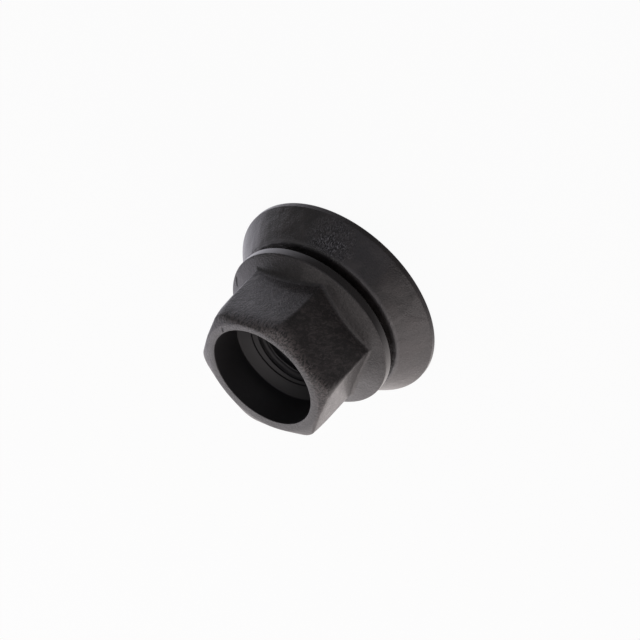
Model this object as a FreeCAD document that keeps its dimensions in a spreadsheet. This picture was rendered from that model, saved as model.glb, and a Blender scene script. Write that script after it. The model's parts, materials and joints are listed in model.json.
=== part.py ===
"""Sleeved lug nut: a forged hex nut whose sleeve carries a flared washer that spins freely.

Millimetres, +Z up. The origin is the centre of the washer's flat bearing face, and the hexagon points up.
"""
import FreeCAD, Part
import os
import Sketcher

NUT = "nut_body"
WASHER = "captive_washer"
HEX_SIDES = 6

# Driving dimensions: name, value in millimetres or degrees, what it is
SIZES = [
    ("thread_minor_diameter", 12.38, "bore before tapping, for a 14 x 1.5 thread"),
    ("countersink_width", 1.05, "radial width of the lead-in at each end of the thread"),
    ("countersink_slope", 30, "degrees from level, of both lead-ins and of the shoulder above"),
    ("countersink_step", 0.25, "short wall between the shoulder and the upper lead-in"),
    ("hex_across_flats", 22, "wrench size"),
    ("hex_corner_radius", 0.5, "rounding of the six upright edges"),
    ("nut_height", 14.2, "flange underside to hexagon end"),
    ("end_wall", 1.85, "wall between the counterbore and a flat"),
    ("end_ring_width", 1.65, "flat ring round the counterbore's mouth"),
    ("end_edge_radius", 0.6, "rounding between the end ring and the corner chamfer"),
    ("corner_chamfer_slope", 30, "degrees from level, of the cone that trims the corners"),
    ("mouth_chamfer", 0.15, "edge break at the counterbore's mouth"),
    ("counterbore_depth", 6, "mouth to the top of the shoulder"),
    ("flange_overhang", 2.05, "flange beyond the hexagon's corners"),
    ("flange_rim_height", 1.6, "upright rim of the flange"),
    ("flange_cone_slope", 22.5, "degrees from level, of the flange's top"),
    ("flange_edge_break", 0.25, "chamfer of the flange's two rim edges"),
    ("rim_gap", 1.5, "open gap between the flange and the washer"),
    ("sleeve_wall", 3.1, "sleeve outside to thread minor diameter"),
    ("sleeve_clearance", 0.3, "radial play of the sleeve in the washer"),
    ("sleeve_recess", 0.5, "sleeve end above the bearing face"),
    ("swage_width", 1.2, "how far the swaged lip stands out from the sleeve"),
    ("swage_edge_height", 0.5, "upright edge of the swaged lip"),
    ("swage_play", 0.4, "lip to the recess's ceiling"),
    ("swage_clearance", 0.6, "lip to the recess's wall"),
    ("seat_width", 2.2, "radial width of the washer's coned seat"),
    ("seat_clearance", 0.15, "upright clearance between the two seats"),
    ("neck_height", 1, "upright bore of the washer between seat and recess"),
    ("recess_depth", 2.4, "recess in the washer's underside"),
    ("washer_height", 5.6, "bearing face to the washer's top"),
    ("washer_flare", 3.6, "bearing face beyond the washer's top edge"),
    ("washer_rim_height", 0.95, "upright rim at the bearing face"),
    ("washer_lip_break", 0.25, "chamfer of the washer's top edge"),
    ("washer_edge_break", 0.25, "chamfer round the bearing face"),
]

doc = FreeCAD.newDocument("SleevedLugNut")
sheet = doc.addObject("Spreadsheet::Sheet", "Sizes")
for row, (alias, size, meaning) in enumerate(SIZES, start=1):
    sheet.set(f"A{row}", alias)
    sheet.set(f"B{row}", str(size))
    sheet.setAlias(f"B{row}", alias)
    sheet.set(f"C{row}", meaning)
doc.recompute()


def cell(alias):
    """The expression that reads one driving dimension."""
    return f"Sizes.{alias}"


def number(expression):
    """What an expression on the sheet comes to at this moment."""
    return float(sheet.evalExpression(expression))


# Radii that the two pieces share, from the thread outwards
BORE_R = f"{cell('thread_minor_diameter')} / 2"
COUNTERSINK_R = f"({BORE_R} + {cell('countersink_width')})"
SLEEVE_R = f"({BORE_R} + {cell('sleeve_wall')})"
NECK_R = f"({SLEEVE_R} + {cell('sleeve_clearance')})"
SEAT_R = f"({NECK_R} + {cell('seat_width')})"
SWAGE_R = f"({SLEEVE_R} + {cell('swage_width')})"
RECESS_R = f"({SWAGE_R} + {cell('swage_clearance')})"
CORNER_R = f"({cell('hex_across_flats')} / (2 * cos({180 // HEX_SIDES})))"
FLANGE_R = f"({CORNER_R} + {cell('flange_overhang')})"
COUNTERBORE_R = f"({cell('hex_across_flats')} / 2 - {cell('end_wall')})"
END_RING_R = f"({COUNTERBORE_R} + {cell('end_ring_width')})"

# Heights above the bearing face
NECK_TOP = f"({cell('recess_depth')} + {cell('neck_height')})"
WASHER_TOP = cell("washer_height")
FLANGE_UNDERSIDE = f"({WASHER_TOP} + {cell('rim_gap')})"
SEAT_RISE = f"(({WASHER_TOP} - {NECK_TOP}) / {cell('seat_width')})"


def above_flange(height):
    """A height above the bearing face, told in the nut's own frame, whose zero is the flange's underside."""
    return f"({height} - {FLANGE_UNDERSIDE})"


def origin_plane(body, role):
    return next(feature for feature in body.Origin.OriginFeatures if feature.Role == role)


def new_sketch(body, name, role):
    sketch = body.newObject("Sketcher::SketchObject", name)
    sketch.AttachmentSupport = [(origin_plane(body, role), "")]
    sketch.MapMode = "FlatFace"
    return sketch


def tie(sketch, constraint, expression):
    """Adds a constraint and binds it to the sheet."""
    index = sketch.addConstraint(constraint)
    sketch.setExpression(f"Constraints[{index}]", expression)


# How a sketch numbers its axes, which start at its origin, and the points of a line or a circle
H_AXIS, V_AXIS = range(-1, -3, -1)
START, END, CENTRE = range(1, 4)
ORIGIN = (H_AXIS, START)
AXES = {"DistanceX": V_AXIS, "DistanceY": H_AXIS}


def place_corner(sketch, line, kind, expression):
    """Holds the start of a line at a distance from the origin, or on the axis where there is none."""
    if expression == "0":
        sketch.addConstraint(Sketcher.Constraint("PointOnObject", line, START, AXES[kind]))
    else:
        tie(sketch, Sketcher.Constraint(kind, *ORIGIN, line, START, number(expression)), expression)


def outline(sketch, corners):
    """A closed run of lines through the corners, joined end to start."""
    points = [FreeCAD.Vector(number(across), number(up), 0) for across, up in corners]
    for start, end in zip(points, points[1:] + points[:1]):
        sketch.addGeometry(Part.LineSegment(start, end))
    for line in range(len(corners)):
        before = (line - 1) % len(corners)
        sketch.addConstraint(Sketcher.Constraint("Coincident", before, END, line, START))


def turned_section(body, name, corners):
    """A section for turning about Z, each corner a radius and a height.

    It lies in the YZ plane, where the turned seam meets the middle of a flat and not a hexagon corner.
    """
    sketch = new_sketch(body, name, "YZ_Plane")
    outline(sketch, corners)
    for line, (radius, height) in enumerate(corners):
        place_corner(sketch, line, "DistanceX", radius)
        place_corner(sketch, line, "DistanceY", height)
    return sketch


def turn(body, kind, name, corners):
    """Adds (Revolution) or cuts (Groove) a full turn of a section about Z."""
    sketch = turned_section(body, f"{name}_section", corners)
    feature = body.newObject(f"PartDesign::{kind}", name)
    feature.Profile = sketch
    feature.ReferenceAxis = (sketch, ["V_Axis"])
    feature.Angle = 360
    doc.recompute()
    return feature


EDGE_SIZE = {"Fillet": "Radius", "Chamfer": "Size"}


def dress_edges(body, kind, name, wanted, size):
    """Rounds (Fillet) or breaks (Chamfer) the edges of the body's tip that the test picks out."""
    tip = body.Tip
    picked = [f"Edge{i}" for i, edge in enumerate(tip.Shape.Edges, start=1) if wanted(edge)]
    feature = body.newObject(f"PartDesign::{kind}", name)
    feature.Base = (tip, picked)
    feature.setExpression(EDGE_SIZE[kind], size)
    doc.recompute()
    return feature


NEAR = 1e-4


def is_ring(edge, radius, height):
    """True for the round edge of that radius about Z at that height."""
    if edge.Curve.TypeId != "Part::GeomCircle":
        return False
    centre = edge.Curve.Center
    return abs(edge.Curve.Radius - radius) < NEAR and abs(centre.z - height) < NEAR


def new_body(label):
    body = doc.addObject("PartDesign::Body", label)
    body.Label = label
    doc.recompute()
    return body


def make_washer():
    """The flared ring: coned seat at its mouth, recess in its underside, flat bearing face at zero."""
    body = new_body(WASHER)
    base_r = f"({FLANGE_R} + {cell('washer_flare')})"
    rim_top = cell("washer_rim_height")
    recess_top = cell("recess_depth")
    turn(body, "Revolution", "washer_ring", [
        (RECESS_R, "0"),
        (base_r, "0"),
        (base_r, rim_top),
        (FLANGE_R, WASHER_TOP),
        (SEAT_R, WASHER_TOP),
        (NECK_R, NECK_TOP),
        (NECK_R, recess_top),
        (RECESS_R, recess_top),
    ])
    lip = (number(FLANGE_R), number(WASHER_TOP))
    dress_edges(body, "Chamfer", "washer_lip", lambda edge: is_ring(edge, *lip), cell("washer_lip_break"))
    foot = (number(base_r), 0)
    dress_edges(body, "Chamfer", "washer_foot", lambda edge: is_ring(edge, *foot), cell("washer_edge_break"))
    return body


def hexagon(body, name, height):
    """A hexagon sketch at a height, one corner on +X, its size set across the flats."""
    sketch = new_sketch(body, name, "XY_Plane")
    sketch.setExpression("AttachmentOffset.Base.z", height)
    turns = [360 // HEX_SIDES * side for side in range(HEX_SIDES)]
    corners = [(f"{CORNER_R} * cos({angle})", f"{CORNER_R} * sin({angle})") for angle in turns]
    outline(sketch, corners)
    round_about = Part.Circle(FreeCAD.Vector(), FreeCAD.Vector(0, 0, 1), number(CORNER_R))
    circle = sketch.addGeometry(round_about, True)
    sketch.addConstraint(Sketcher.Constraint("Coincident", circle, CENTRE, *ORIGIN))
    tie(sketch, Sketcher.Constraint("Radius", circle, number(CORNER_R)), CORNER_R)
    for side in range(HEX_SIDES):
        sketch.addConstraint(Sketcher.Constraint("PointOnObject", side, START, circle))
    for side in range(1, HEX_SIDES):
        sketch.addConstraint(Sketcher.Constraint("Equal", 0, side))
    sketch.addConstraint(Sketcher.Constraint("PointOnObject", 0, START, AXES["DistanceY"]))
    return sketch


def make_nut():
    """The forged nut, in a frame whose zero is the flange's underside, then set on the washer."""
    body = new_body(NUT)
    end = cell("nut_height")
    rim_top = cell("flange_rim_height")

    # Turned blank: swaged sleeve, coned seat, flange and its cone, which ends inside the hexagon
    sleeve_end = above_flange(cell("sleeve_recess"))
    swage_edge = f"({sleeve_end} + {cell('swage_edge_height')})"
    swage_top = above_flange(f"({cell('recess_depth')} - {cell('swage_play')})")
    seat_low = above_flange(f"({NECK_TOP} + {cell('seat_clearance')}"
                            f" - {SEAT_RISE} * {cell('sleeve_clearance')})")
    seat_high = above_flange(f"({WASHER_TOP} + {cell('seat_clearance')})")
    cone_top = f"({rim_top} + ({FLANGE_R} - {COUNTERBORE_R}) * tan({cell('flange_cone_slope')}))"
    turn(body, "Revolution", "turned_blank", [
        ("0", sleeve_end),
        (SWAGE_R, sleeve_end),
        (SWAGE_R, swage_edge),
        (SLEEVE_R, swage_top),
        (SLEEVE_R, seat_low),
        (SEAT_R, seat_high),
        (SEAT_R, "0"),
        (FLANGE_R, "0"),
        (FLANGE_R, rim_top),
        (COUNTERBORE_R, cone_top),
        ("0", cone_top),
    ])

    # Hexagon, from the flange's rim up, with its upright edges rounded as forged
    pad = body.newObject("PartDesign::Pad", "hex_head")
    pad.Profile = hexagon(body, "hex_outline", rim_top)
    pad.setExpression("Length", f"{end} - {rim_top}")
    doc.recompute()
    top = number(end)

    def is_upright(edge):
        heights = sorted(vertex.Point.z for vertex in edge.Vertexes)
        return len(heights) == 2 and abs(heights[1] - top) < NEAR < heights[1] - heights[0]

    dress_edges(body, "Fillet", "hex_corners", is_upright, cell("hex_corner_radius"))

    # A cone trims the hexagon's corners at its end
    past_corner = f"({CORNER_R} + {cell('flange_overhang')})"
    trim_foot = f"({end} - ({past_corner} - {END_RING_R}) * tan({cell('corner_chamfer_slope')}))"
    turn(body, "Groove", "corner_chamfer", [
        (END_RING_R, end),
        (past_corner, end),
        (past_corner, trim_foot),
    ])
    end_edge = (number(END_RING_R), top)
    dress_edges(body, "Fillet", "end_edge", lambda edge: is_ring(edge, *end_edge), cell("end_edge_radius"))

    # Counterbore, coned shoulder, upper lead-in, thread bore and lower lead-in, in one cut
    slope = f"tan({cell('countersink_slope')})"
    shoulder_top = f"({end} - {cell('counterbore_depth')})"
    shoulder_foot = f"({shoulder_top} - ({COUNTERBORE_R} - {COUNTERSINK_R}) * {slope})"
    lead_in_top = f"({shoulder_foot} - {cell('countersink_step')})"
    lead_in_drop = f"{cell('countersink_width')} * {slope}"
    mouth_r = f"({COUNTERBORE_R} + {cell('mouth_chamfer')})"
    turn(body, "Groove", "bore", [
        ("0", sleeve_end),
        (COUNTERSINK_R, sleeve_end),
        (BORE_R, f"({sleeve_end} + {lead_in_drop})"),
        (BORE_R, f"({lead_in_top} - {lead_in_drop})"),
        (COUNTERSINK_R, lead_in_top),
        (COUNTERSINK_R, shoulder_foot),
        (COUNTERBORE_R, shoulder_top),
        (COUNTERBORE_R, f"({end} - {cell('mouth_chamfer')})"),
        (mouth_r, end),
        ("0", end),
    ])

    rims = [(number(FLANGE_R), 0), (number(FLANGE_R), number(rim_top))]
    dress_edges(body, "Chamfer", "flange_rim", lambda edge: any(is_ring(edge, *rim) for rim in rims),
                cell("flange_edge_break"))
    body.setExpression("Placement.Base.z", FLANGE_UNDERSIDE)
    return body


sub_parts = [make_nut(), make_washer()]
doc.recompute()

for thing in doc.Objects:
    if "Invalid" in thing.State or "Error" in thing.State:
        raise RuntimeError(f"{thing.Label} failed: {thing.State}")
for sub_part in sub_parts:
    if sub_part.Shape.isNull() or not sub_part.Shape.isValid():
        raise RuntimeError(f"{sub_part.Label} has no valid shape")

os.makedirs("parts", exist_ok=True)
for sub_part in sub_parts:
    sub_part.Shape.exportStep(f"parts/{sub_part.Label}.step")
    box = sub_part.Shape.optimalBoundingBox()
    print(f"{sub_part.Label}: {len(sub_part.Shape.Solids)} solid, {sub_part.Shape.Volume:.1f} mm3, "
          f"{box.XLength:.2f} x {box.YLength:.2f} x {box.ZLength:.2f} mm, from z {box.ZMin:.2f}")
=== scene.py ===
# %% [markdown]
# # A sleeved lug nut with a captive washer
#
# The nut is one forging: a hexagon with a deep counterbore in its end, a round flange, and below the
# flange a sleeve that carries a loose, flared washer. Both pieces are black all over, with the soft sheen
# of oiled phosphate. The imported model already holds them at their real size. This lesson makes a finer
# mesh of each in the same place, with the forged roundings, the worn end and the thread, gives them their
# finish, and lights them as a product picture is lit.

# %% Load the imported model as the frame
import json
from math import atan2, cos, hypot, pi, radians, sin, sqrt, tan

import bmesh
import bpy
from mathutils import Matrix, Vector


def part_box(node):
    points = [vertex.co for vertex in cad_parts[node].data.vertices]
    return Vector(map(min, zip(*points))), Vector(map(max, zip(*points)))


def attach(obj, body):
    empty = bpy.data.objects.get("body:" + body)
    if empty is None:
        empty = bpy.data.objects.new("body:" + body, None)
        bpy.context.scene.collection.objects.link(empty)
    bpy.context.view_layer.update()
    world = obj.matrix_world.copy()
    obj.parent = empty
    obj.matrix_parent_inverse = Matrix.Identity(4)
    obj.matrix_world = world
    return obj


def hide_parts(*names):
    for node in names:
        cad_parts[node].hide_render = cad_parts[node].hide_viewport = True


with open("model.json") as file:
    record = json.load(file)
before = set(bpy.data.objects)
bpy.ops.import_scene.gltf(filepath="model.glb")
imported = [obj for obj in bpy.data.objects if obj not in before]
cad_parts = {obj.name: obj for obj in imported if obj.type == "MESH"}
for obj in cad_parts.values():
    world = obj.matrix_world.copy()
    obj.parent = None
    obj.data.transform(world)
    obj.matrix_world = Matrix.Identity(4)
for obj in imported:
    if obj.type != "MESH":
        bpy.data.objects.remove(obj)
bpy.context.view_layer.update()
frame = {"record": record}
MM = 0.001

# %% [markdown]
# ## The sizes
#
# A mesh that stands for a solid has to keep its form, so the sizes come from the frame where it has them:
# the boxes of the two nodes, and the thread's mount in the record. The rest repeats the drawing of the
# nut, in millimetres. Widths are radii, because everything is turned about one axis, and heights are
# above the bearing face, which is also the floor.

# %% Sizes of the thread and the sleeve
mounts = {mount["name"]: mount for mount in frame["record"]["mounts"]}
nut_low, nut_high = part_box("nut_body")

thread_minor = mounts["stud_thread"]["dims"]["r_mm"] * MM
lead_in = 1.05 * MM
lead_in_slope = tan(radians(30))
lead_in_drop = lead_in * lead_in_slope
lead_in_mouth = thread_minor + lead_in

sleeve_end = nut_low.z
sleeve_wall = 3.1 * MM
sleeve = thread_minor + sleeve_wall
swage_width = 1.2 * MM
swage = sleeve + swage_width
print(f"bore {2 * thread_minor / MM:.2f} mm, sleeve {2 * sleeve / MM:.2f} mm, lip {2 * swage / MM:.2f} mm")

# %% Sizes of the washer
washer_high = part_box("captive_washer")[1]

washer_foot = washer_high.y
washer_top = washer_high.z
washer_rim = 0.95 * MM
recess_depth = 2.4 * MM
recess_clearance = 0.6 * MM
recess = swage + recess_clearance
neck_length = 1.0 * MM
neck_top = recess_depth + neck_length
neck_clearance = 0.3 * MM
neck = sleeve + neck_clearance
seat_width = 2.2 * MM
seat_mouth = neck + seat_width
seat_clearance = 0.15 * MM
seat_rise = (washer_top - neck_top) / (seat_mouth - neck)
print(f"washer {2 * washer_foot / MM:.2f} mm wide and {washer_top / MM:.2f} mm high")

# %% Sizes of the flange, the hexagon and the counterbore
flange = nut_high.y
flange_gap = 1.5 * MM
flange_foot = washer_top + flange_gap
flange_thickness = 1.6 * MM
flange_rim = flange_foot + flange_thickness
cone_angle = radians(22.5)
cone_slope = tan(cone_angle)

nut_end = nut_high.z
hex_flat = 11.0 * MM
counterbore = 9.15 * MM
counterbore_depth = 6.0 * MM
counterbore_floor = nut_end - counterbore_depth
mouth_break = 0.12 * MM
shoulder_foot = counterbore_floor - (counterbore - lead_in_mouth) * lead_in_slope
shoulder_step = 0.25 * MM
lead_in_top = shoulder_foot - shoulder_step
print(f"flange {2 * flange / MM:.2f} mm, hexagon {2 * hex_flat / MM:.2f} mm, height {nut_end / MM:.2f} mm")

# %% [markdown]
# ## Turned sections
#
# Nearly everything here is turned or forged round one axis, so each piece starts as half of its section:
# a closed chain of corners, each with a radius and a height. Rounding the corners in the section, with a
# vertex bevel, costs far less than bevelling rings of faces later. Then a spin about the axis makes one
# side of the skin, and copies of it close the ring. The alternative, cylinders joined by booleans, leaves
# long thin faces that show in a satin finish.

# %% Helpers for a turned section
ROUND_STEPS = 8
MERGE_DISTANCE = 0.0005 * MM


def draw_section(corners):
    """A closed chain of edges in the XZ plane, rounded at its corners: (radius, height, rounding) each."""
    mesh = bmesh.new()
    chain = [mesh.verts.new((radius, 0, height)) for radius, height, _ in corners]
    for start, end in zip(chain, chain[1:] + chain[:1]):
        mesh.edges.new((start, end))
    for vert, (_, _, rounding) in zip(chain, corners):
        if rounding:
            before, after = [edge.other_vert(vert).co - vert.co for edge in vert.link_edges]
            along = rounding * tan((pi - before.angle(after)) / 2)
            bmesh.ops.bevel(mesh, geom=[vert], offset=along, affect="VERTICES", segments=ROUND_STEPS,
                            profile=0.5, material=-1)
    return mesh


def divide_rows(mesh, longest, wanted=lambda middle: True):
    """Cuts the section's edges until none of those wanted is longer than the given length."""
    for edge in list(mesh.edges):
        cuts = int(edge.calc_length() / longest)
        if cuts and wanted((edge.verts[0].co + edge.verts[1].co) / 2):
            bmesh.ops.subdivide_edges(mesh, edges=[edge], cuts=cuts)


def spin_section(mesh, steps, sides):
    """Turns the section about Z into one side of a closed skin, then copies that side round."""
    about = {"cent": (0, 0, 0), "axis": (0, 0, 1), "dvec": (0, 0, 0)}
    side = 2 * pi / sides
    bmesh.ops.spin(mesh, geom=mesh.verts[:] + mesh.edges[:], angle=side, steps=steps // sides,
                   use_merge=False, use_duplicate=False, **about)
    bmesh.ops.spin(mesh, geom=mesh.verts[:] + mesh.edges[:] + mesh.faces[:], angle=2 * pi - side,
                   steps=sides - 1, use_merge=False, use_duplicate=True, **about)
    bmesh.ops.remove_doubles(mesh, verts=mesh.verts, dist=MERGE_DISTANCE)
    bmesh.ops.recalc_face_normals(mesh, faces=mesh.faces)


print(f"each rounded corner has {ROUND_STEPS} steps")

# %% [markdown]
# A finished mesh becomes an object at the origin, with its place in its points. It rides on its body and
# hides the solid that it stands for.

# %% Helper that finishes a piece
def finish_piece(mesh, name, body, node):
    """Makes the object, smooth-shaded, hides the solid that it stands for and ties it to its body."""
    data = bpy.data.meshes.new(name)
    for face in mesh.faces:
        face.smooth = True
    mesh.to_mesh(data)
    loose = sum(not edge.is_manifold for edge in mesh.edges)
    volume = mesh.calc_volume(signed=True) / MM ** 3
    mesh.free()
    piece = bpy.data.objects.new(name, data)
    bpy.context.scene.collection.objects.link(piece)
    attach(piece, body)
    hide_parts(node)
    triangles = sum(len(face.vertices) - 2 for face in data.polygons)
    print(f"{name}: {triangles} triangles, {loose} open edges, {volume:.0f} mm3")
    return piece


solids = [subpart["node"] for subpart in frame["record"]["subparts"]]
print("solids to stand for:", ", ".join(solids))

# %% [markdown]
# ## The washer
#
# The captive washer is a plain turned ring. Its outside flares like a bell from the flange's width to the
# wide flat bearing face, its mouth is coned to seat the nut, and a recess under it hides the swaged end
# of the sleeve. Only its edges need care: the lip beside the dark gap is rounded and catches the light.
# The mesh also carries a number that is 1 on its outside, so that the finish can keep the scaly patch and
# the lip's painted highlight off the seat.

# %% Spin the washer
lip_rounding = 0.5 * MM
washer_row = 0.6 * MM
washer_steps, washer_sides = 256, 8

washer_mesh = draw_section([
    (recess, 0, 0.2 * MM),
    (washer_foot, 0, 0.25 * MM),
    (washer_foot, washer_rim, 0.2 * MM),
    (flange, washer_top, lip_rounding),
    (seat_mouth, washer_top, 0.2 * MM),
    (neck, neck_top, 0.2 * MM),
    (neck, recess_depth, 0.15 * MM),
    (recess, recess_depth, 0.3 * MM),
])
divide_rows(washer_mesh, washer_row)
spin_section(washer_mesh, washer_steps, washer_sides)

outside_number = washer_mesh.verts.layers.float.new("outside")
for vert in washer_mesh.verts:
    vert[outside_number] = hypot(vert.co.x, vert.co.y) > flange - lip_rounding / 2
washer = finish_piece(washer_mesh, "washer_ring", "washer", "captive_washer")

# %% [markdown]
# ## The nut's blank
#
# The nut starts as a turned blank too: sleeve, flange, a round wall as wide as the hexagon across its
# flats, the counterbore and the bore. The bore is cut into many more rows than the rest, because the
# thread needs them. The blank is spun in six equal sides, so that all six corners of the hexagon get the
# same points.

# %% Spin the nut's blank
HEX_SIDES = 6
root_rounding = 0.8 * MM
head_rounding = 0.5 * MM
rim_rounding = 0.3 * MM
root_height = flange_rim + (flange - hex_flat) * cone_slope
swage_height = 0.5 * MM
swage_clearance = 0.4 * MM
thread_pitch = 1.5 * MM
thread_row = thread_pitch / 10
nut_row = 0.8 * MM
nut_steps = 360

nut_mesh = draw_section([
    (lead_in_mouth, sleeve_end, 0),
    (swage, sleeve_end, 0.2 * MM),
    (swage, sleeve_end + swage_height, 0.2 * MM),
    (sleeve, recess_depth - swage_clearance, 0.3 * MM),
    (sleeve, neck_top + seat_clearance - seat_rise * (neck - sleeve), 0.3 * MM),
    (seat_mouth, washer_top + seat_clearance, 0.2 * MM),
    (seat_mouth, flange_foot, 0.3 * MM),
    (flange, flange_foot, rim_rounding),
    (flange, flange_rim, rim_rounding),
    (hex_flat, root_height, root_rounding),
    (hex_flat, nut_end, head_rounding),
    (counterbore, nut_end, mouth_break),
    (counterbore, counterbore_floor, 0.25 * MM),
    (lead_in_mouth, shoulder_foot, 0.06 * MM),
    (lead_in_mouth, lead_in_top, 0.06 * MM),
    (thread_minor, lead_in_top - lead_in_drop, 0),
    (thread_minor, sleeve_end + lead_in_drop, 0),
])
divide_rows(nut_mesh, thread_row, lambda middle: middle.x < lead_in_mouth and middle.z < lead_in_top)
divide_rows(nut_mesh, nut_row)
print("rows in the nut's section:", len(nut_mesh.verts))
spin_section(nut_mesh, nut_steps, HEX_SIDES)

# %% [markdown]
# ## The hexagon
#
# The forging die pushes the round wall out to a hexagon. In the mesh that is a move of its points: each
# one slides outwards by what the rounded hexagon is wider at its angle. At the foot of the wall it also
# falls along the flange's cone, so the corners run out into that cone in a curve. At the head it falls
# along a much flatter cone, which trims the corners, and there the corners are also far rounder. A
# six-sided prism joined on by a boolean would leave hard seams where the real forging flows.

# %% The outline of the hexagon
side_angle = 2 * pi / HEX_SIDES
corner_slope = tan(radians(13))
root_along = root_rounding * tan((pi / 2 - cone_angle) / 2)
root_outside = hex_flat + root_along * cos(cone_angle)
wall_foot = root_height + root_along
wall_head = nut_end - head_rounding
ring_edge = hex_flat - head_rounding


def ramp(value, start, end):
    """How far a value is from start to end, held between 0 and 1."""
    return min(1, max(0, (value - start) / (end - start)))


def hexagon_radius(angle, rounding):
    """From the axis to the side of a hexagon with rounded corners. A corner is at angle 0."""
    half_side = side_angle / 2
    from_flat = abs(angle % side_angle - half_side)
    if tan(from_flat) * hex_flat < tan(half_side) * (hex_flat - rounding):
        return hex_flat / cos(from_flat)
    centre = (hex_flat - rounding) / cos(half_side)
    across = centre * sin(half_side - from_flat)
    return centre * cos(half_side - from_flat) + sqrt(rounding ** 2 - across ** 2)


def hexagon_share(radius, height):
    """How much of the hexagon's move a point of the blank takes, and how steeply it falls with it."""
    if height <= flange_rim - rim_rounding or radius < ring_edge:
        return 0, 0
    if height > wall_head:
        turn = 1 - atan2(height - wall_head, radius - ring_edge) / (pi / 2)
        return turn * turn * (3 - 2 * turn), corner_slope
    up = ramp(height, wall_foot, wall_head)
    return ramp(radius, flange, root_outside), cone_slope + up * (corner_slope - cone_slope)


print(f"hexagon's wall from {wall_foot / MM:.2f} to {wall_head / MM:.2f} mm")

# %% [markdown]
# ## The worn end
#
# The end of this nut isn't even. Along one side its outer edge is eased, a little lower and drawn in, and
# one flat is rolled over further. Both swell softly round the axis. They start from nothing at the mouth
# of the counterbore and some way down the wall, and are full at the end's outer edge, so no new edge
# shows.

# %% Where the end is worn, and how far
corner_rounding_foot = 0.5 * MM
corner_rounding_head = 3.2 * MM
worn_height = 2.2 * MM
rolled_flat = radians(-30)
rolled_reach = radians(60)
rolled_depth = 0.35 * MM
eased_side = radians(-75)
eased_reach = radians(100)
eased_depth = 0.20 * MM
eased_fall = 0.16 * MM


def swell(angle, middle, reach):
    """1 at an angle in the middle, falling softly to 0 at the reach on both sides."""
    away = abs((angle - middle + pi) % (2 * pi) - pi)
    return cos(pi / 2 * min(1, away / reach))


def corner_rounding(height):
    """The rounding of the hexagon's corners, which grows fast towards the end."""
    up = ramp(height, wall_foot, wall_head)
    return corner_rounding_foot + up ** 4 * (corner_rounding_head - corner_rounding_foot)


print(f"corners rounded by {corner_rounding_foot / MM:.1f} to {corner_rounding_head / MM:.1f} mm")

# %% [markdown]
# ## The thread
#
# A wheel stud has a right-hand thread, here with a pitch of 1.5 mm. Only its first turns show, at the
# bottom of the counterbore. The bore's points move out into the groove, by their height and their angle,
# so the mesh stays closed. A thread cut by a boolean would be slower, and it can fail where the groove
# runs out at the lead-in.

# %% The thread's groove
thread_depth = 0.81 * MM
groove_mouth = thread_pitch * 3 / 8
groove_bottom = thread_pitch / 16


def thread_groove(angle, height):
    """Depth of the right-hand thread's groove below the minor diameter."""
    along = (height - thread_pitch * angle / (2 * pi)) % thread_pitch
    return thread_depth * ramp(abs(along - thread_pitch / 2), groove_mouth, groove_bottom)


print(f"thread {2 * (thread_minor + thread_depth) / MM:.2f} mm wide, pitch {thread_pitch / MM:.2f} mm")

# %% [markdown]
# Now every point of the blank moves to its place. The columns of points first crowd towards the corners,
# where the hexagon curves most. Each point also gets four numbers for the finish: how far it lies on a
# flat, whether it was turned, whether it was bored, and how far its edge is eased.

# %% Forge the blank
column_crowding = 0.75

flat_number = nut_mesh.verts.layers.float.new("flat")
turned_number = nut_mesh.verts.layers.float.new("turned")
bored_number = nut_mesh.verts.layers.float.new("bored")
eased_number = nut_mesh.verts.layers.float.new("eased")
for vert in nut_mesh.verts:
    radius = hypot(vert.co.x, vert.co.y)
    angle = atan2(vert.co.y, vert.co.x)
    angle -= column_crowding / HEX_SIDES * sin(HEX_SIDES * angle)
    height = vert.co.z
    inside = radius < counterbore + mouth_break / 2 and height > sleeve_end + lead_in_drop
    vert[bored_number] = inside
    vert[turned_number] = height < flange_rim - rim_rounding / 2 and not inside
    if radius < lead_in_mouth and height < lead_in_top:
        radius = max(radius, thread_minor + thread_groove(angle, height))
    else:
        share, fall = hexagon_share(radius, height)
        move = share * (hexagon_radius(angle, corner_rounding(height)) - hex_flat)
        outwards = ramp(radius, counterbore + mouth_break, hex_flat)
        headwards = ramp(height, nut_end - worn_height, nut_end)
        wear = (outwards * headwards) ** 2
        rolling = swell(angle, rolled_flat, rolled_reach)
        easing = swell(angle, eased_side, eased_reach)
        vert[flat_number] = share * ramp(height, root_height, wall_foot)
        vert[eased_number] = easing * outwards * headwards
        radius += move - wear * (rolled_depth * rolling + eased_depth * easing)
        height -= move * fall + wear * eased_fall * easing
    vert.co = (radius * cos(angle), radius * sin(angle), height)
bmesh.ops.recalc_face_normals(nut_mesh, faces=nut_mesh.faces)
nut = finish_piece(nut_mesh, "nut_forging", "nut", "nut_body")

# %% [markdown]
# ## Shader sums
#
# Both finishes are worked out from a point's own place on the piece: how far it is from the axis, how
# high, and a little noise. Such sums read badly as node code, so a small class wraps a socket and turns
# plain Python sums into Math nodes. Any other node comes from one method. It sets the node's settings
# first, because they can change its sockets, and then gives each socket a value or a link. The same
# method serves the world.

# %% A class for sockets and one for node trees
class Wire:
    """A socket in a node tree. Sums on wires add Math nodes to that tree."""

    def __init__(self, finish, socket):
        self.finish = finish
        self.socket = socket

    def math(self, operation, first, second):
        return self.finish.node("ShaderNodeMath", {"operation": operation}, {0: first, 1: second})

    def __add__(self, other):
        return self.math("ADD", self, other)

    def __sub__(self, other):
        return self.math("SUBTRACT", self, other)

    def __rsub__(self, other):
        return self.math("SUBTRACT", other, self)

    def __mul__(self, other):
        return self.math("MULTIPLY", self, other)

    __radd__ = __add__
    __rmul__ = __mul__


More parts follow.
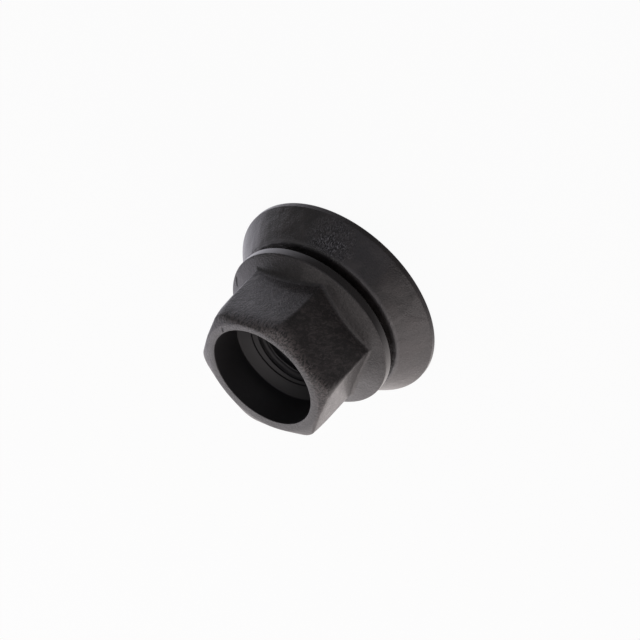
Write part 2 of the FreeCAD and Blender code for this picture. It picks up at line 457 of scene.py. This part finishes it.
class Finish:
    """A material or a world under construction, from an empty node tree."""

    def __init__(self, block):
        self.block = block
        self.block.use_nodes = True
        self.tree = self.block.node_tree
        self.tree.nodes.clear()

    def node(self, kind, settings, sockets, output=0):
        """Adds a node, sets its settings, then its sockets, and gives back one of its outputs."""
        node = self.tree.nodes.new(kind)
        for name, setting in settings.items():
            setattr(node, name, setting)
        for name, value in sockets.items():
            if isinstance(value, Wire):
                self.tree.links.new(value.socket, node.inputs[name])
            else:
                node.inputs[name].default_value = value
        return Wire(self, node.outputs[output]) if node.outputs else None


print("sums on wires: add, subtract, multiply")

# %% [markdown]
# ## Patterns that both finishes use
#
# Phosphate is a crust of tiny crystals, so it is never one even grey. A few patterns give that: grain at
# the scale of the crystals, soft clouds some millimetres wide where the bath or the oil has taken
# differently, and fades that keep a pattern to its own zone. Every size is in millimetres on the piece,
# from Object coordinates.

# %% Helpers for places in millimetres
def place_on_piece(finish):
    """The point's place on the piece, in millimetres."""
    metres = finish.node("ShaderNodeTexCoord", {}, {}, "Object")
    return finish.node("ShaderNodeVectorMath", {"operation": "SCALE"}, {0: metres, "Scale": 1 / MM})


def part_of(finish, place, axis):
    """One of the X, Y and Z of a place."""
    return finish.node("ShaderNodeSeparateXYZ", {}, {0: place}, axis)


def around_axis(finish, place, radius):
    """How far round the axis a place lies, in millimetres along a circle of the given radius in metres."""
    turn = finish.node("ShaderNodeMath", {"operation": "ARCTAN2"},
                       {0: part_of(finish, place, "Y"), 1: part_of(finish, place, "X")})
    return turn * (radius / MM)


def mesh_number(finish, name):
    """A number that the mesh carries at each of its points."""
    return finish.node("ShaderNodeAttribute", {"attribute_name": name}, {}, "Fac")


nut_numbers = [number.name for number in nut.data.attributes if number.data_type == "FLOAT"]
print("numbers on the nut's mesh:", ", ".join(nut_numbers))

# %% Helpers for patterns
def fade(finish, value, start, end):
    """0 at start, 1 at end, smooth between and level beyond."""
    return finish.node("ShaderNodeMapRange", {"interpolation_type": "SMOOTHSTEP"},
                       {"Value": value, "From Min": start, "From Max": end}, "Result")


def noise(finish, place, size, detail=2, distortion=0):
    """Soft noise about 0.5, with blobs of about the given size."""
    sockets = {"Vector": place, "Scale": 1 / size, "Detail": detail, "Distortion": distortion}
    return finish.node("ShaderNodeTexNoise", {}, sockets, "Fac")


def blotches(finish, place, size, start, end, detail=2, distortion=0):
    """Noise with more contrast: 0 where it is below start, 1 where it is above end."""
    return fade(finish, noise(finish, place, size, detail, distortion), start, end)


def near_spot(finish, place, spot, reach):
    """1 at a spot on the piece, fading to 0 at the given reach, all in millimetres."""
    away = finish.node("ShaderNodeVectorMath", {"operation": "DISTANCE"}, {0: place, 1: spot}, "Value")
    return 1 - fade(finish, away, 0, reach)


def blend_colours(finish, share, first, second):
    """The first colour where the share is 0, the second where it is 1."""
    return finish.node("ShaderNodeMix", {"data_type": "RGBA"}, {0: share, 6: first, 7: second}, 2)


print("patterns: fades, noise, blotches and spots")

# %% [markdown]
# Both pieces are closed in the same way. The crust of phosphate has a colour, a roughness and a fine
# relief, and mirrors a little more than plain paint does. The oil that it holds is a thin, glossier film
# on top, so it goes in as the shader's coat, and its weight may differ from place to place.

# %% Helper that closes a finish
CRUST_IOR = 1.55
OIL_ROUGHNESS = 0.16


def coat(finish, colour, roughness, relief, oil, piece):
    """Closes a finish: an oiled crust with its colour, its gloss and a fine relief in millimetres."""
    normal = finish.node("ShaderNodeBump", {}, {"Height": relief, "Distance": MM})
    surface = finish.node("ShaderNodeBsdfPrincipled", {},
                          {"Base Color": colour, "Roughness": roughness, "Normal": normal, "IOR": CRUST_IOR,
                           "Coat Weight": oil, "Coat Roughness": OIL_ROUGHNESS})
    finish.node("ShaderNodeOutputMaterial", {}, {"Surface": surface})
    piece.data.materials.append(finish.block)
    print(f"{finish.block.name}: {len(finish.tree.nodes)} nodes")


print(f"crust with an index of {CRUST_IOR}, oil with a roughness of {OIL_ROUGHNESS}")

# %% [markdown]
# ## The nut's finish
#
# A hot forging has more than one skin. Its flats carry fine wrinkles that lean across them, where the
# steel slid along the die. The flange's cone and the end are evenly grainy. The counterbore, the thread,
# the rim and the sleeve were turned after forging and are smooth. Round the eased edge the crust is worn
# to a lighter grey, with short dark bristles that run over the edge. The mesh's four numbers keep each
# skin to its own place. A pattern that runs one way is plain noise on stretched coordinates: round the
# axis, and along it or over the edge.

# %% Directions on the nut
flow_lean = radians(38)
flow_length = 2.6
bristle_length = 2.5

nut_finish = Finish(bpy.data.materials.new("phosphate_forged"))
on_nut = place_on_piece(nut_finish)
along_x = part_of(nut_finish, on_nut, "X")
along_y = part_of(nut_finish, on_nut, "Y")
up_axis = part_of(nut_finish, on_nut, "Z")
around = around_axis(nut_finish, on_nut, hex_flat)

across_flow = around * cos(flow_lean) - up_axis * sin(flow_lean)
along_flow = (up_axis * cos(flow_lean) + around * sin(flow_lean)) * (1 / flow_length)
flow = nut_finish.node("ShaderNodeCombineXYZ", {}, {"X": across_flow, "Y": along_flow})

squares = along_x * along_x + along_y * along_y
from_axis = nut_finish.node("ShaderNodeMath", {"operation": "SQRT"}, {0: squares})
over_end = (up_axis - from_axis) * (1 / bristle_length)
over_edge = nut_finish.node("ShaderNodeCombineXYZ", {}, {"X": around, "Y": over_end})
print(f"directions on the nut: {len(nut_finish.tree.nodes)} nodes")

# %% Patterns of the nut
flat = mesh_number(nut_finish, "flat")
turned = mesh_number(nut_finish, "turned")
bored = mesh_number(nut_finish, "bored")
eased = mesh_number(nut_finish, "eased")
rough_skin = 1 - turned - bored

nut_grain = blotches(nut_finish, on_nut, size=0.25, start=0.3, end=0.7, detail=3)
nut_crust = blotches(nut_finish, on_nut, size=0.6, start=0.4, end=0.75)
nut_clouds = blotches(nut_finish, on_nut, size=4.0, start=0.35, end=0.7, detail=3)
wrinkles = blotches(nut_finish, flow, size=0.45, start=0.42, end=0.72, distortion=1.4)
streaks = blotches(nut_finish, flow, size=1.5, start=0.3, end=0.7)
bristle = eased * blotches(nut_finish, over_edge, size=0.30, start=0.45, end=0.60, detail=1, distortion=0.4)
print(f"patterns of the nut: {len(nut_finish.tree.nodes)} nodes")

# %% [markdown]
# Two small marks belong to this nut: a nick in the end ring, where something struck it, and a scratch on
# the flange's edge. Each is a row of overlapping spots from one place on the piece to another, used as a
# shallow groove that is also darker and dull.

# %% A nick and a scratch
def line_mark(finish, place, start, end, reach, spots):
    """A mark from start to end, all in millimetres, as a row of spots that overlap."""
    middles = [Vector(start).lerp(Vector(end), step / (spots - 1)) for step in range(spots)]
    first, *others = [near_spot(finish, place, middle, reach) for middle in middles]
    return sum(others, first)


nick = line_mark(nut_finish, on_nut, start=(9.6, 0.7, 21.25), end=(9.98, 0.32, 21.25), reach=0.32, spots=3)
scratch = line_mark(nut_finish, on_nut, start=(12.5, 6.8, 8.85), end=(11.3, 7.6, 9.2), reach=0.40, spots=6)
marks = nick + scratch
print(f"with a nick and a scratch: {len(nut_finish.tree.nodes)} nodes")

# %% [markdown]
# Black steel gets most of its look from what it mirrors, so the patterns change its gloss and its oil as
# much as its colour. The colours go on from the lowest layer up: forged skin, worn edge, turned faces,
# bored faces. The bored faces are lighter than the other turned faces: painted light that stands in for
# the light bounced about inside the counterbore.

# %% The nut's colour
forged_black = (0.0095, 0.0080, 0.0078, 1)
forged_grey = (0.032, 0.0265, 0.0258, 1)
worn_grey = (0.088, 0.073, 0.070, 1)
turned_black = (0.012, 0.0105, 0.0105, 1)
# The bore's colour is lighter than the turned black, as painted bounce light inside the counterbore.
bored_black_and_bounce = (0.017, 0.0166, 0.0175, 1)

skin_shade = nut_clouds * 0.35 + nut_crust * 0.3 + nut_grain * 0.5 - 0.12
flow_shade = flat * (wrinkles * 1.3 + streaks * 0.5 - 0.64)
nut_lightness = skin_shade + flow_shade - bristle * 0.8 - marks
forged_colour = blend_colours(nut_finish, nut_lightness, forged_black, forged_grey)
worn_colour = blend_colours(nut_finish, eased - bristle, forged_colour, worn_grey)
outside_colour = blend_colours(nut_finish, turned, worn_colour, turned_black)
nut_colour = blend_colours(nut_finish, bored, outside_colour, bored_black_and_bounce)
print(f"with its colour: {len(nut_finish.tree.nodes)} nodes")

# %% The nut's gloss and relief
skin_roughness = rough_skin * (0.10 + nut_grain * 0.06 - flat * 0.05 + eased * 0.18)
nut_roughness = 0.24 + bored * 0.20 + marks * 0.25 + skin_roughness
skin_relief = rough_skin * (nut_grain * 0.03 + nut_crust * 0.02)
flow_relief = flat * (wrinkles * (0.015 + nut_clouds * 0.035) + streaks * 0.03)
nut_relief = skin_relief + flow_relief - bristle * 0.10 - marks * 0.25
oil_unevenness = rough_skin * (nut_grain * 0.3 + flat * wrinkles * 0.35 - flat * 0.14 - 0.15)
nut_oil = 0.35 + oil_unevenness - bored * 0.3 - marks * 0.2
coat(nut_finish, nut_colour, nut_roughness, nut_relief, nut_oil, nut)

# %% [markdown]
# ## The washer's finish
#
# The washer was turned from bar, then blackened in the same bath. Its flare is finely grainy, and its
# colour drifts softly from place to place. In one patch some millimetres wide the crust is scaly: short
# light strokes along the flare, with dark pits between them and a ragged edge. The strokes' light grey is
# partly their own colour and partly painted glints of their facets. The lip beside the gap is painted a
# lighter grey, a painted highlight where its rounding catches the light. The number for the outside keeps
# patch and lip off the seat.

# %% Patterns of the washer
scale_length = 1.7
lip_foot = washer_top - 1.2 * lip_rounding

washer_finish = Finish(bpy.data.materials.new("phosphate_turned"))
on_washer = place_on_piece(washer_finish)
outside = mesh_number(washer_finish, "outside")
up_washer = part_of(washer_finish, on_washer, "Z")
# Where the lip's painted highlight goes: the outside, from a little below the lip up to its top.
lip = outside * fade(washer_finish, up_washer, lip_foot / MM, washer_top / MM)
washer_grain = noise(washer_finish, on_washer, size=0.22, detail=3)
washer_clouds = blotches(washer_finish, on_washer, size=3.5, start=0.35, end=0.7, detail=4)

patch_spot = near_spot(washer_finish, on_washer, spot=(10.7, -12.0, 4.1), reach=5.2)
patch_edge = 0.35 + 0.9 * blotches(washer_finish, on_washer, size=1.1, start=0.35, end=0.6)
scaly_patch = outside * patch_spot * patch_edge
around_flare = around_axis(washer_finish, on_washer, flange)
up_flare = up_washer * (1 / scale_length)
along_flare = washer_finish.node("ShaderNodeCombineXYZ", {}, {"X": around_flare, "Y": up_flare})
scales = blotches(washer_finish, along_flare, size=0.19, start=0.44, end=0.60, distortion=0.6)
print(f"patterns of the washer: {len(washer_finish.tree.nodes)} nodes")

# %% The washer's colour, gloss and relief
# The scales' light grey is partly their own colour and partly painted glints of their facets.
scale_and_glint_grey = (0.145, 0.140, 0.155, 1)
pit_black = (0.002, 0.002, 0.002, 1)
# The lip's lighter grey is a painted highlight, where its rounding catches the light.
lip_highlight_grey = (0.072, 0.069, 0.070, 1)

washer_lightness = washer_clouds * 0.8 + washer_grain * 0.5
skin_colour = blend_colours(washer_finish, washer_lightness, forged_black, forged_grey)
patch_colour = blend_colours(washer_finish, scales, pit_black, scale_and_glint_grey)
scaly_colour = blend_colours(washer_finish, scaly_patch, skin_colour, patch_colour)
washer_colour = blend_colours(washer_finish, lip, scaly_colour, lip_highlight_grey)
washer_roughness = 0.26 + washer_grain * 0.10 + washer_clouds * 0.06
washer_relief = washer_grain * 0.08 + washer_clouds * 0.10 + scaly_patch * scales * 0.34
washer_oil = washer_grain * 0.9 - 0.1 + scaly_patch * (scales * 0.8 - 0.4)
coat(washer_finish, washer_colour, washer_roughness, washer_relief, washer_oil, washer)

# %% [markdown]
# ## The floor
#
# A product picture stands on plain white paper that runs out of the picture on all sides. A wide disc
# does that.

# %% Pale floor
floor_radius = 4.0
floor_segments = 96

floor_mesh = bmesh.new()
bmesh.ops.create_circle(floor_mesh, cap_ends=True, segments=floor_segments, radius=floor_radius)
floor_data = bpy.data.meshes.new("floor")
floor_mesh.to_mesh(floor_data)
floor_mesh.free()
floor = bpy.data.objects.new("floor", floor_data)
bpy.context.scene.collection.objects.link(floor)
print(f"floor {2 * floor_radius:.0f} m wide")

# %% [markdown]
# What the camera sees of the paper is mostly a plain white of strength 1, with a little paint, so the
# paper is white without more light on the nut, and the paint keeps the soft shadow under the washer.
# Steel mirrors that white too, but only from the half of the paper that lies towards the lamps, warm to
# one side and cool to the other. The half towards the camera is in the studio's shade, so that the flats
# that face the camera stay black.

# %% White paper, shaded on the camera's side
white, black = (1, 1, 1, 1), (0, 0, 0, 1)
paper_pale, paper_shaded = (0.8, 0.8, 0.8, 1), (0.25, 0.25, 0.25, 1)
paper_warm, paper_cool = (1, 0.93, 0.92, 1), (0.93, 0.91, 1, 1)
white_seen = 0.94
white_mirrored = 1.0
shade_towards = radians(-73)
shade_start, shade_end = 2 * MM, 22 * MM
tint_reach = 20 * MM

paper = Finish(bpy.data.materials.new("pale_floor"))
on_paper = paper.node("ShaderNodeTexCoord", {}, {}, "Object")
paper_x = part_of(paper, on_paper, "X")
paper_y = part_of(paper, on_paper, "Y")
shade = fade(paper, paper_x * cos(shade_towards) + paper_y * sin(shade_towards), shade_start, shade_end)
tint = fade(paper, paper_x, -tint_reach, tint_reach)
print(f"places on the paper: {len(paper.tree.nodes)} nodes")

# %% What each ray sees of the paper
camera_ray = paper.node("ShaderNodeLightPath", {}, {}, "Is Camera Ray")
glossy_ray = paper.node("ShaderNodeLightPath", {}, {}, "Is Glossy Ray")
passing_ray = paper.node("ShaderNodeLightPath", {}, {}, "Is Transmission Ray")
white_share = (camera_ray + passing_ray) * white_seen + glossy_ray * (1 - shade) * white_mirrored

paint_colour = blend_colours(paper, glossy_ray * shade, paper_pale, paper_shaded)
mirrored_colour = blend_colours(paper, tint, paper_warm, paper_cool)
white_colour = blend_colours(paper, glossy_ray, white, mirrored_colour)
base_colour = blend_colours(paper, white_share, paint_colour, black)
glow_colour = blend_colours(paper, white_share, black, white_colour)
paper_surface = paper.node("ShaderNodeBsdfPrincipled", {},
                           {"Base Color": base_colour, "Roughness": 1, "Specular IOR Level": 0,
                            "Emission Color": glow_colour, "Emission Strength": 1})
paper.node("ShaderNodeOutputMaterial", {}, {"Surface": paper_surface})
floor_data.materials.append(paper.block)
print(f"{paper.block.name}: {len(paper.tree.nodes)} nodes")

# %% [markdown]
# ## The light
#
# Black satin steel shows little but what it mirrors, so the lamps are placed for their reflections. Four
# soft panels stand in an arc behind the nut. The end ring, the low side of the flange and the washer
# mirror them, and each has its own strength, because the picture is brighter to one side. A smaller panel
# stands near the camera, one hangs overhead for the flange's cone, and a weak bluish one in front lifts
# the shadows.

# %% Soft studio panels
nut_middle = Vector((0, 0, flange_foot))
panel_distance = 0.5
warm, cool, plain, bluish = (1, 0.91, 0.91), (0.93, 0.89, 1), (1, 0.95, 0.97), (0.82, 0.80, 1)


def add_panel(name, azimuth, elevation, width, height, radiance, colour):
    """A lamp turned to the nut, its angles in degrees. Its power follows from its brightness and size."""
    lamp = bpy.data.objects.new(name, bpy.data.lights.new(name, "AREA"))
    lamp.data.shape = "RECTANGLE"
    lamp.data.size = width
    lamp.data.size_y = height
    lamp.data.energy = pi * radiance * width * height
    lamp.data.color = colour
    around_nut, above_nut = radians(azimuth), radians(elevation)
    towards = Vector((cos(around_nut) * cos(above_nut), sin(around_nut) * cos(above_nut), sin(above_nut)))
    lamp.location = nut_middle + panel_distance * towards
    lamp.rotation_euler = towards.to_track_quat("Z", "Y").to_euler()
    lamp.visible_camera = False
    bpy.context.scene.collection.objects.link(lamp)
    print(f"{name}: {lamp.data.energy:.2f} W")


add_panel("back_left_panel", 86, 24, 0.27, 0.43, 1.05, cool)
add_panel("back_panel", 118, 26, 0.37, 0.47, 1.2, plain)
add_panel("back_right_panel", 158, 20, 0.37, 0.37, 1.0, warm)
add_panel("side_panel", 200, 18, 0.37, 0.33, 1.45, warm)
add_panel("near_panel", 238, 36, 0.27, 0.27, 0.7, warm)
add_panel("top_panel", 150, 74, 0.50, 0.50, 0.8, warm)
add_panel("front_panel", -50, 40, 0.60, 0.40, 0.2, bluish)

# %% [markdown]
# The rest of the studio is dim, so that faces turned away from the lamps stay black. Only where the
# camera looks past the edge of the paper is the world white, so that a low view has no grey band above
# the floor.

# %% The studio round the paper
studio_dim = 0.18
studio_white = 0.95

studio = Finish(bpy.data.worlds.new("studio"))
dim_studio = studio.node("ShaderNodeBackground", {}, {"Color": white, "Strength": studio_dim})
white_studio = studio.node("ShaderNodeBackground", {}, {"Color": white, "Strength": studio_white})
seen = studio.node("ShaderNodeLightPath", {}, {}, "Is Camera Ray")
studio_surface = studio.node("ShaderNodeMixShader", {}, {0: seen, 1: dim_studio, 2: white_studio})
studio.node("ShaderNodeOutputWorld", {}, {"Surface": studio_surface})
bpy.context.scene.world = studio.block
bpy.context.scene.view_settings.view_transform = "Standard"
print(f"studio of strength {studio_dim}, {studio_white} where the camera sees it")

# %% [markdown]
# ## The camera
#
# The picture looks down on the open end from the side, with the camera rolled so that the axis runs from
# the lower left to the upper right. A long lens from far away keeps the ellipses nearly true. The
# camera's distance and its aim are in pixels of the picture, each about a sixth of a millimetre on the
# nut.

# %% Camera
FRAME_WIDTH = 640
SENSOR_WIDTH = 36
pixel = 0.1589 * MM
distance_pixels = 2200
aim_pixels = (-6.4, -3.0)
azimuth, elevation, roll = radians(16.8), radians(34.65), radians(223.4)
nearest_seen = 0.01

back = Vector((sin(azimuth) * cos(elevation), -cos(azimuth) * cos(elevation), sin(elevation)))
level_right = Vector((cos(azimuth), sin(azimuth), 0))
right = cos(roll) * level_right + sin(roll) * back.cross(level_right)
up = back.cross(right)

camera = bpy.data.objects.new("camera", bpy.data.cameras.new("camera"))
camera.data.lens = distance_pixels / FRAME_WIDTH * SENSOR_WIDTH
camera.data.sensor_width = SENSOR_WIDTH
camera.data.clip_start = nearest_seen
camera_place = nut_middle + pixel * (distance_pixels * back - aim_pixels[0] * right - aim_pixels[1] * up)
camera.matrix_world = Matrix.Translation(camera_place) @ Matrix((right, up, back)).transposed().to_4x4()
bpy.context.scene.collection.objects.link(camera)
bpy.context.scene.camera = camera
print(f"camera {(camera_place - nut_middle).length:.3f} m away, lens {camera.data.lens:.1f} mm")
